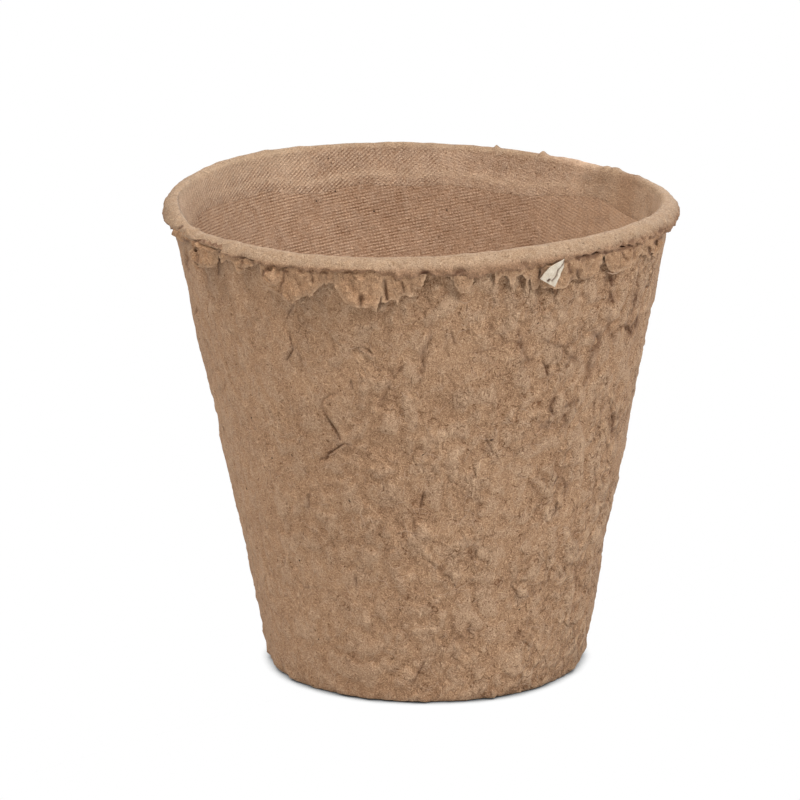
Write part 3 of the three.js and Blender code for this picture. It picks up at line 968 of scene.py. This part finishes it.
# The torn flash
# Thin felt that was squeezed out past the rim's edge and tore when the pot came off the screen. The tongues
# hang under the bead, crumpled and creased, stand away from the wall and end in frayed edges.
FLASH_CLEARANCE = 0.3
FLASH_CURL = 1.6
FLASH_STEP = 0.17
FLASH_ROOT = 0.4  # how far a tongue runs up into the bead
FLASH_STAND_OFF = 1.0  # of the torn edge, as seen
FLASH_SPAN = outer_radius(WALL_TOP)  # radius at which distances along the flash are measured
FRONT_FLAPS = [
    # lift of the edge, fullness of the root, thickness, crumple, and the torn edge in pixels
    (0.0, 0.7, 0.5, 0.7,
     [(172, 229), (174, 236), (178, 241), (183, 243), (187, 242), (190, 245), (193, 238)]),
    (1.5, 0.9, 0.9, 0.5,
     [(193, 240), (195, 247), (194, 252), (196, 258), (200, 263), (205, 266), (212, 267), (219, 266),
      (219, 257), (220, 250), (221, 246)]),
    (1.1, 0.8, 0.6, 0.7,
     [(221, 247), (221, 255), (223, 262), (226, 260), (231, 262), (234, 266), (237, 270), (241, 273),
      (245, 271), (247, 267), (251, 267), (256, 265), (259, 262), (261, 260)]),
    (1.7, 0.6, 1.1, 0.35,
     [(262, 265), (263, 276), (267, 281), (272, 285), (279, 285), (282, 280), (284, 272), (285, 268)]),
    (0.7, 0.5, 0.5, 0.4,
     [(258, 265), (260, 277), (262, 284), (270, 289), (277, 293), (285, 298), (290, 302), (293, 304),
      (297, 300), (303, 297), (309, 294), (310.5, 297), (312, 294.5), (313, 296), (314, 293), (317, 290),
      (320, 286), (323, 284), (326, 285), (328, 283), (331, 283), (333, 287), (334, 283), (336, 272)]),
    (0.8, 0.7, 0.5, 0.45,
     [(334, 271), (335, 287), (338, 292), (342, 297), (346, 301), (350, 304), (354, 305), (358, 306),
      (364, 306), (368, 306.5), (372, 307.5), (375, 309), (377.5, 311.5), (378.5, 309), (379, 305),
      (380, 300), (384, 290), (385, 275)]),
    (0.8, 0.7, 0.5, 0.4,
     [(384, 275), (382, 292), (382, 301.5), (385, 302.5), (388, 301), (391, 299), (394, 299), (396, 300),
      (397, 304), (398.5, 300), (400, 298), (403, 295.5), (407, 295), (410, 296), (413, 296.5), (414, 292),
      (415, 289), (418, 288), (421, 289.5), (423, 286), (424, 281), (426, 276)]),
    (0.7, 0.6, 0.5, 0.2,
     [(450, 277), (453, 282), (455, 286), (458, 290), (459.5, 292.5), (465, 293), (470, 293.5), (471, 288),
      (473, 284), (475, 278)]),
    (0.2, 0.4, 0.4, 0.15,
     [(496, 272), (496.5, 283), (498.5, 284), (500, 279), (504, 276.5), (508, 277), (511, 281),
      (512, 287.5), (514, 288), (515, 282), (518, 277.5), (523, 275.5), (526, 278), (527, 283),
      (527.5, 289), (529.5, 288), (529.5, 283), (530, 279.5), (531.5, 279), (532.5, 283), (533, 287),
      (535, 290), (540, 288), (542, 278), (542, 265)]),
    (0.5, 0.7, 0.5, 0.6,
     [(541, 265), (541, 280), (542, 288), (549, 287.5), (554, 289), (560, 288), (566, 286), (571, 283),
      (575, 281), (579, 279), (580, 270), (581, 257)]),
    (0.7, 0.7, 0.5, 0.5,
     [(576, 257), (578, 270), (580, 277), (584, 279.5), (590, 278), (595, 275), (599, 270), (601, 266),
      (604, 260), (607, 252)]),
    (0.7, 0.7, 0.5, 0.6,
     [(605, 252), (607, 262), (609, 268), (611, 271), (616, 272.5), (622, 271), (628, 268), (632, 264),
      (637, 262), (641, 254), (644, 242)]),
    (0.4, 0.6, 0.45, 0.8,
     [(643, 242), (645, 251), (646, 256), (648, 251), (649, 257), (651, 258), (652, 252), (654, 255),
      (656, 258), (658, 252), (660, 254), (661, 247), (662, 240), (664, 235)]),
]
# Holes torn through the flash: the pixel, and half the width and height in pixels.
HOLES = [(195.5, 249.5, 2, 3), (650, 249, 1.3, 3), (657, 243, 1.3, 3)]
# Creases of the flash, or ridges where the height is positive: pixels along each, its height and its width.
FLASH_CREASES = [
    ([(197, 247), (196, 252), (198, 259), (203, 264)], -0.35, 0.25),
    ([(204, 250), (212, 252), (216, 250)], -0.15, 0.5),
    ([(226, 258.5), (232, 258), (238, 260)], -0.35, 0.25), ([(243, 261), (242, 264)], -0.6, 0.22),
    ([(238, 263), (241, 262.5), (245, 266), (245, 270), (241, 271)], 0.4, 0.3),
    ([(241, 267), (242, 269)], -0.3, 0.25), ([(253, 263), (255, 266)], -0.6, 0.25),
    ([(248, 265), (251, 264)], 0.25, 0.3), ([(264, 277), (264, 271), (268, 269.5)], -0.7, 0.3),
    ([(270, 276), (276, 279)], 0.45, 1.0), ([(272, 277), (275, 280), (276, 284)], -0.2, 0.2),
    ([(267, 283), (277, 289), (290, 299)], 0.25, 0.5), ([(295, 274), (296, 281)], -0.3, 0.2),
    ([(311, 272), (313, 277), (313, 282)], -0.4, 0.25), ([(318, 274), (320, 280)], -0.25, 0.2),
    ([(326, 274), (326, 280)], -0.2, 0.25), ([(300, 284), (303, 292)], -0.15, 0.3),
    ([(361.5, 296), (361, 300), (361.5, 303)], -0.5, 0.35), ([(358, 294), (357.5, 303)], 0.2, 0.25),
    ([(364.5, 293), (366.5, 299), (366, 305)], 0.25, 0.35), ([(354, 277), (356, 279)], -0.35, 0.2),
    ([(385, 281), (386, 290), (387, 299)], -0.6, 0.25), ([(401, 281), (403, 287), (404, 292)], -0.45, 0.22),
    ([(394, 283), (395, 294)], -0.15, 0.3), ([(410, 282), (411, 292)], -0.2, 0.25),
    ([(418, 281), (418, 287)], -0.2, 0.2), ([(345, 280), (347, 296)], -0.12, 0.4),
    ([(370, 280), (371, 292)], -0.15, 0.4), ([(567, 265), (568, 279)], -0.3, 0.25),
    ([(573, 266), (574, 280)], 0.25, 0.2), ([(563, 279), (570, 276)], 0.2, 0.3),
    ([(570, 267), (571, 273)], -0.25, 0.22), ([(578, 269), (578, 275)], -0.25, 0.2),
    ([(582, 261), (588, 258), (596, 257)], -0.7, 0.3), ([(618, 250), (625, 249), (630, 248)], -0.5, 0.25),
    ([(580, 262), (582, 275), (586, 278), (594, 274), (602, 262)], 0.22, 0.25),
    ([(584, 264), (592, 268)], -0.2, 0.6), ([(611, 264), (620, 264.5), (630, 263)], 0.3, 0.35),
    ([(607, 254), (608, 262)], -0.3, 0.25), ([(622, 250), (624, 257), (627, 260)], -0.4, 0.22),
    ([(614, 253), (616, 259)], -0.2, 0.3), ([(634, 247), (633, 254), (636, 258)], -0.4, 0.25),
    ([(640, 246), (642, 253)], 0.3, 0.3), ([(654, 242), (655, 252)], -0.4, 0.2),
    ([(647, 244), (647, 254)], 0.3, 0.22),
]


def spread(pixel, stand_off=FLASH_STAND_OFF):
    """Where a pixel lies on the flash laid flat: the distance along it and the height."""
    angle, height = seen_on(pixel, lambda height: outer_radius(height) + stand_off)
    return Vector((angle * FLASH_SPAN, height))


creases = [([spread(pixel) for pixel in path], rise, width) for path, rise, width in FLASH_CREASES]
CREASE_REACH = 4
SHARP_FOLD = 0.8  # in radians
EDGE_STEP = 0.2
ROOT_STEP = 0.5


def crumpled(spot, scale, seed):
    return noise.noise(Vector((spot.x / scale[0], spot.y / scale[1], seed)))


def sheet(border, face_at, step=FLASH_STEP):
    """A closed thin sheet over a border laid flat.

    face_at says how far its back and front stand off the wall, how much paler it is near its torn edge, and
    how much painted shade it gets in a hollow.
    """
    low = Vector([min(spot[axis] for spot in border) for axis in (0, 1)])
    high = Vector([max(spot[axis] for spot in border) for axis in (0, 1)])
    spots = list(border)
    for column in range(math.ceil((high.x - low.x) / step)):
        for row in range(math.ceil((high.y - low.y) / step)):
            spots.append(low + step * Vector((column + 0.5 * (row % 2), row)))
    flat, _, triangles, *_ = delaunay_2d_cdt(spots, [], [list(range(len(border)))], 1, 0.001)
    shape = bmesh.new()
    order = shape.verts.layers.int.new("order")
    shade_and_spot_layer = shape.verts.layers.float.new("crease_shade_and_spot")
    edge_pale_and_painted_light = shape.verts.layers.float.new("edge_pale_and_painted_light")
    fronts = []
    backs = []
    for spot in flat:
        angle = spot.x / FLASH_SPAN
        fold = 0
        for path, rise, width in creases:
            if abs(spot.x - path[0].x) < CREASE_REACH and abs(angle) < math.pi / 2:
                fold += rise * math.exp(-(gap_to(path, spot) / width) ** 2)
        back, front, fringe, hollow = face_at(spot, angle, fold)
        fronts.append(shape.verts.new(crooked(angle, outer_radius(spot.y) + front, spot.y)))
        fronts[-1][order] = len(backs)
        # Painted shade of its creases, hollows and crevices, and on the scrap its own dark spot.
        fronts[-1][shade_and_spot_layer] = min(1, max(0, -fold, hollow, crevice_at(fronts[-1].co)))
        fronts[-1][edge_pale_and_painted_light] = fringe
        backs.append(crooked(angle, outer_radius(spot.y) + back, spot.y))
    for corners in triangles:
        column, row = seen_at(sum((fronts[n].co for n in corners), Vector()) / 3)
        pierced = any(((column - x) / wide) ** 2 + ((row - y) / tall) ** 2 < 1 for x, y, wide, tall in HOLES)
        if not pierced or fronts[corners[0]].co.y > 0:
            shape.faces.new([fronts[n] for n in corners])
    bmesh.ops.delete(shape, geom=[vert for vert in shape.verts if not vert.link_faces], context="VERTS")
    made = bmesh.ops.extrude_face_region(shape, geom=shape.faces[:], use_keep_orig=True)["geom"]
    for item in made:
        if isinstance(item, bmesh.types.BMVert):
            item.co = backs[item[order]]
    bmesh.ops.recalc_face_normals(shape, faces=shape.faces)
    for edge in shape.edges:
        edge.smooth = edge.calc_face_angle(0) < SHARP_FOLD
    return shape


def torn_flap(lift, fullness, thickness, crumple, torn, seed):
    """A tongue of flash inside a torn edge laid flat, rooted in the bead."""
    border = []
    for spot in along(torn, EDGE_STEP):
        place = Vector((spot.x, spot.y, seed))
        fray = 0.2 * noise.noise_vector(place / 0.7) + 0.16 * noise.noise_vector(place / 0.25)
        border.append(spot + fray.to_2d())
    width = torn[-1].x - torn[0].x
    steps = max(2, round(width / ROOT_STEP))
    for n in range(steps + 1):
        x = torn[-1].x - width * n / steps
        thin = math.exp(-((x / FLASH_SPAN - sag_angle) / 0.3) ** 2)
        border.append(Vector((x, bead_bottom(x / FLASH_SPAN) + FLASH_ROOT * (1 - 1.2 * thin))))

    def face_at(spot, angle, fold):
        below = max(0, bead_bottom(angle) - spot.y)
        free = min(1, below / 1.2)
        to_edge = gap_to(torn, spot)
        folds = crumple * (crumpled(spot, (1.7, 2.4), seed) + 0.5 * crumpled(spot, (0.7, 1.1), seed + 0.5))
        streaks = 0.12 * crumpled(spot, (0.35, 2.5), seed + 9) + 0.1 * crumpled(spot, (0.4, 0.4), seed + 7)
        curl = 0.5 * max(0, crumpled(spot, (1.2, 1.2), seed + 4)) * math.exp(-to_edge / 0.45)
        hang = 0.9 * lift * (below / 4) ** FLASH_CURL
        off = FLASH_CLEARANCE + 0.6 * fullness * math.exp(-below / 2.5) + hang
        off = max(0.1, off + free * (folds + streaks + curl + fold))
        front = off + thickness * (0.3 + 0.7 * smooth(0, 0.8, to_edge))
        in_bead = RIM_RADIUS - outer_radius(spot.y) - 0.5
        rooted = smooth(0.7, 0.1, below + 0.6 * crumpled(spot, (0.7, 0.7), seed + 3))
        front -= rooted * max(0, front - in_bead)
        # Painted shade in the hollows of the crumple.
        hollow = 0.6 * free * smooth(0.15, 0.5, -folds)
        # The last value makes the front paler near the torn edge.
        return off, max(off + 0.15, front), math.exp(-to_edge / 0.3), hollow

    return sheet(border, face_at)


def chance(n, k):
    """A repeatable number from 0 to 1 for flap n and trait k."""
    return 43758.5453 * math.sin(12.9898 * n + 78.233 * k) % 1


BACK_FLAPS = 12
BACK_FIRST = 84  # degrees round the pot
BACK_LAST = 279
BACK_THICKNESS = 0.5
BACK_CRUMPLE = 0.6


def back_flap(n):
    """The traits and the torn edge of flap n on the side that faces away."""
    pitch = (BACK_LAST - BACK_FIRST) / BACK_FLAPS
    at_side = n in (0, BACK_FLAPS - 1)
    deepest = 0.9 if at_side else 1.6 + 3.4 * chance(n, 1)

    def tip(share, k):
        return share + 0.12 * chance(n, k), deepest * (0.25 + 0.75 * chance(n, k + 1))

    edge = [(0, 0.1), tip(0.12, 5), tip(0.3, 7), (0.5, deepest), tip(0.6, 9), tip(0.8, 11), (1, 0.1)]
    start = BACK_FIRST + (n + 0.2 * chance(n, 2)) * pitch
    end = BACK_FIRST + (n + 0.7 + 0.25 * chance(n, 3)) * pitch
    torn = []
    for share, drop in edge:
        angle = math.radians(start + (end - start) * share)
        torn.append(Vector((angle * FLASH_SPAN, WALL_TOP - drop)))
    lift = 0.1 if at_side else 0.8 + 0.9 * chance(n, 4)
    fullness = 0 if at_side else 0.2 + 0.6 * chance(n, 13)
    return lift, fullness, BACK_THICKNESS, BACK_CRUMPLE, torn


flash_pulp = pulp("flash_pulp", paint(104, 70, 44), paint(197, 158, 121), grit=1.1)
flaps = [(*traits, [spread(pixel) for pixel in edge]) for *traits, edge in FRONT_FLAPS]
flaps += [back_flap(n) for n in range(BACK_FLAPS)]
for n, flap in enumerate(flaps):
    node = f"torn_flap_{n + 1:02d}"
    finish_piece(f"{node}_felt", torn_flap(*flap, seed=n), flash_pulp, "flash_pulp", node)

# The paper scrap
# A bit of white paper that never broke down in the pulp, caught flat against the torn flash at the front
# right. It is folded once and has a dark spot.
SCRAP_EDGE = [(540, 279), (545, 272), (550, 267), (557, 263), (564, 259), (563, 268), (560, 275), (557, 281),
              (554.5, 287), (551, 285), (546, 282.5)]
SCRAP_FOLD = [(564, 260), (562, 265), (558, 270), (556, 276), (552, 281)]
SCRAP_SPOT = [(548.5, 281), (549.5, 280)]
SCRAP_STAND_OFF = 1.75
SCRAP_THICKNESS = 0.2
SCRAP_STEP = 0.08
# The fold is painted dark as its shade; the spot is the paper's own dark spot.
creases = [([spread(pixel, SCRAP_STAND_OFF) for pixel in SCRAP_FOLD], -1, 0.12),
           ([spread(pixel, SCRAP_STAND_OFF) for pixel in SCRAP_SPOT], -2, 0.18)]


def scrap_face(spot, angle, fold):
    rumple = 0.2 * crumpled(spot, (1.4, 1.4), 4) + 0.08 * crumpled(spot, (0.5, 0.5), 8)
    off = SCRAP_STAND_OFF + rumple + 0.2 * fold
    return off, off + SCRAP_THICKNESS, 0, 0


scrap_edge = [spread(pixel, SCRAP_STAND_OFF) for pixel in SCRAP_EDGE + SCRAP_EDGE[:1]]
scrap = sheet(along(scrap_edge, EDGE_STEP)[:-1], scrap_face, step=SCRAP_STEP)
scrap_paper = pulp("scrap_paper", paint(158, 142, 120), paint(226, 214, 196), grit=0.5)
finish_piece("paper_scrap_sheet", scrap, scrap_paper, "scrap_paper", "paper_scrap")

# Loose fibres and flecks
# Long fibres that lie on the felt or hang from the torn edges, and flecks of bark that were in the pulp.
FIBRE_COUNT = 1500
FIBRE_POINTS = 6
FIBRE_THICKNESS = 0.04
FIBRE_LIFT = 0.03  # of its middle off the felt
SEEN_FIBRES = [
    [(608, 272.5), (613, 274), (618, 273), (622, 269)], [(513, 276), (513, 288)], [(528, 277), (528.5, 290)]]
SEEN_FIBRE_LIFT = 1.5  # off the wall, clear of the torn edges
draw = random.Random(5)
fibre_curve = bpy.data.curves.new("fibres", "CURVE")
fibre_curve.dimensions = "3D"
fibre_curve.bevel_depth = FIBRE_THICKNESS
fibre_curve.bevel_resolution = 0


def add_fibre(points, thickness=1):
    strand = fibre_curve.splines.new("POLY")
    strand.points.add(len(points) - 1)
    for n, (spot, point) in enumerate(zip(strand.points, points)):
        spot.co = (*point, 1)
        spot.radius = thickness * (0.4 if n in (0, len(points) - 1) else 1)


for _ in range(FIBRE_COUNT):
    angle = draw.uniform(-math.pi, math.pi)
    height = draw.uniform(1.5, WALL_TOP - 3)
    heading = draw.uniform(0, 2 * math.pi)
    stride = draw.uniform(0.15, 0.5)
    points = []
    for _ in range(FIBRE_POINTS):
        spot, normal, _, _ = felt_skin.find_nearest(crooked(angle, outer_radius(height), height))
        points.append(spot + FIBRE_LIFT * normal)
        angle += stride * math.cos(heading) / outer_radius(height)
        height += stride * math.sin(heading)
        heading += draw.gauss(0, 0.35)
    add_fibre(points)
for path in SEEN_FIBRES:
    points = []
    for pixel in path:
        angle, height = seen_on(pixel, lambda height: outer_radius(height) + SEEN_FIBRE_LIFT)
        points.append(crooked(angle, outer_radius(height) + SEEN_FIBRE_LIFT, height))
    add_fibre(points, 2)
fibre_object = bpy.data.objects.new("fibres", fibre_curve)
fibres = bmesh.new()
fibres.from_mesh(fibre_object.to_mesh())
bpy.data.objects.remove(fibre_object)
fibre_pulp = pulp("fibre_pulp", paint(140, 108, 82), paint(206, 176, 148), grit=0.2)
finish_piece("loose_fibres", fibres, fibre_pulp, "pulp")

FLECKS = [
    (381, 370), (319, 639), (272, 458), (265, 467), (291, 456), (251, 418), (246, 489), (592, 442),
    (423, 455), (492, 440), (538, 323), (400, 610), (455, 585), (520, 610), (300, 560), (350, 500),
    (610, 350), (230, 400),
]
BACK_FLECKS = 60
FLECK_BALL = 0.5  # radius of the ball that a fleck is flattened from
flecks = bmesh.new()
places = [on_wall(pixel) for pixel in FLECKS]
for _ in range(BACK_FLECKS):
    angle = math.radians(draw.uniform(75, 285))
    height = draw.uniform(3, 68)
    places.append(crooked(angle, outer_radius(height), height))
for place in places:
    spot, normal, _, _ = felt_skin.find_nearest(place)
    bit = bmesh.ops.create_icosphere(flecks, subdivisions=1, radius=FLECK_BALL)["verts"]
    lie = normal.to_track_quat("Z", "Y").to_matrix() @ Matrix.Rotation(draw.uniform(0, math.pi), 3, "Z")
    size = Vector((draw.uniform(0.16, 0.34), draw.uniform(0.3, 0.8), 0.14))
    for vert in bit:
        vert.co = spot + lie @ (vert.co * size)
INSIDE_FLECKS = [
    (316, 201), (335, 191), (328, 158), (331, 163), (374, 211), (447, 210), (523, 180), (548, 184),
]
for pixel in INSIDE_FLECKS:
    angle, height = seen_on(pixel, inner_radius, far=True)
    bit = bmesh.ops.create_icosphere(flecks, subdivisions=1, radius=FLECK_BALL)["verts"]
    middle = crooked(angle, inner_radius(height) - 0.02, height)
    size = Vector((draw.uniform(0.2, 0.4), 0.2, draw.uniform(0.3, 0.5)))
    for vert in bit:
        vert.co = middle + Matrix.Rotation(angle, 3, "Z") @ (vert.co * size)
fleck_bark = pulp("fleck_bark", paint(48, 32, 22), paint(92, 64, 44), grit=0.4)
finish_piece("bark_flecks", flecks, fleck_bark, "pulp")

# The set
# A plain white table and a white surround, with broad soft lights high in front, two on the left and one on
# the right, and a weak one behind, so that the felt is lit evenly. The lens sees the table glow white, with a
# close shadow from ambient occlusion and a painted shadow under the pot.
TABLE_SIZE = 4
TABLE_WHITE = (0.76, 0.76, 0.76, 1)
table = bmesh.new()
bmesh.ops.create_grid(table, x_segments=1, y_segments=1, size=TABLE_SIZE)
table_mesh = bpy.data.meshes.new("table")
table.to_mesh(table_mesh)
table.free()
table_top = bpy.data.objects.new("table", table_mesh)
bpy.context.scene.collection.objects.link(table_top)


def straight_seen(shade):
    """1 where the lens sees a thing, also mirrored or through glass, and 0 where it only lights others."""
    camera_ray = shade.node("ShaderNodeLightPath", output="Is Camera Ray")
    glossy_ray = camera_ray.other("Is Glossy Ray")
    through_ray = camera_ray.other("Is Transmission Ray")
    return shade.math("MAXIMUM", shade.math("MAXIMUM", camera_ray, glossy_ray), through_ray)


SHADOW_REACH = 2.4 * MM
# Under the pot the table's glow is dimmed, a painted shadow.
UNDER_POT = 0.7 * FOOT_RADIUS * MM  # inside this radius the table lies in the pot's full shade
UNDER_POT_EDGE = 0.8 * FOOT_RADIUS * MM
table_finish = bpy.data.materials.new("white_table")
table_finish.use_nodes = True
table_nodes = table_finish.node_tree
table_shade = Shade(table_nodes)
open_sky = table_shade.node(
    "ShaderNodeAmbientOcclusion", {"samples": 16}, {"Distance": SHADOW_REACH}, "AO")
table_place = table_shade.node("ShaderNodeTexCoord", output="Object")
from_middle = table_shade.node("ShaderNodeVectorMath", {"operation": "LENGTH"}, {0: table_place}, "Value")
painted_shadow_under_pot = from_middle.between(UNDER_POT_EDGE, UNDER_POT)
# The glow that the lens sees, dimmed near the pot by ambient occlusion and under it by the painted shadow.
glow = open_sky.between(0.0, 0.8) * (1 - 0.85 * painted_shadow_under_pot)
white_glow = table_shade.node("ShaderNodeEmission", None, {"Strength": glow})
plain_white = table_shade.node("ShaderNodeBsdfDiffuse", None, {"Color": TABLE_WHITE})
table_look = table_shade.node(
    "ShaderNodeMixShader", None, {0: straight_seen(table_shade), 1: plain_white, 2: white_glow})
table_nodes.links.new(table_look.socket, table_nodes.nodes["Material Output"].inputs["Surface"])
table_mesh.materials.append(table_finish)

world = bpy.data.worlds.new("surround")
world.use_nodes = True
bpy.context.scene.world = world
world_shade = Shade(world.node_tree)
SURROUND_LIGHT = 0.34
strength = SURROUND_LIGHT + (1 - SURROUND_LIGHT) * straight_seen(world_shade)
background = world.node_tree.nodes["Background"]
background.inputs["Color"].default_value = (1, 1, 1, 1)
world.node_tree.links.new(strength.socket, background.inputs["Strength"])


LIT_SPOT = Vector((0, 0, 0.04))


def soft_light(name, power, size, place, colour):
    """A square light that faces the middle of the pot."""
    lamp = bpy.data.lights.new(name, "AREA")
    lamp.color = colour
    lamp.energy = power
    lamp.size = size
    light = bpy.data.objects.new(name, lamp)
    light.location = place
    toward_pot = LIT_SPOT - Vector(place)
    light.rotation_euler = toward_pot.to_track_quat("-Z", "Y").to_euler()
    bpy.context.scene.collection.objects.link(light)


soft_light("left_light", power=3, size=0.25, place=(-0.72, -0.7, 1.0), colour=(1, 0.97, 0.92))
soft_light("right_light", power=17.6, size=0.45, place=(0.85, -0.7, 0.95), colour=(0.95, 1, 1.04))
soft_light("high_left_light", power=12, size=0.3, place=(-0.6, -0.38, 1.3), colour=(1, 0.98, 0.95))
soft_light("back_light", power=6, size=0.5, place=(0.25, 1.1, 0.4), colour=(1, 0.99, 0.97))
bpy.context.scene.view_settings.view_transform = "Standard"
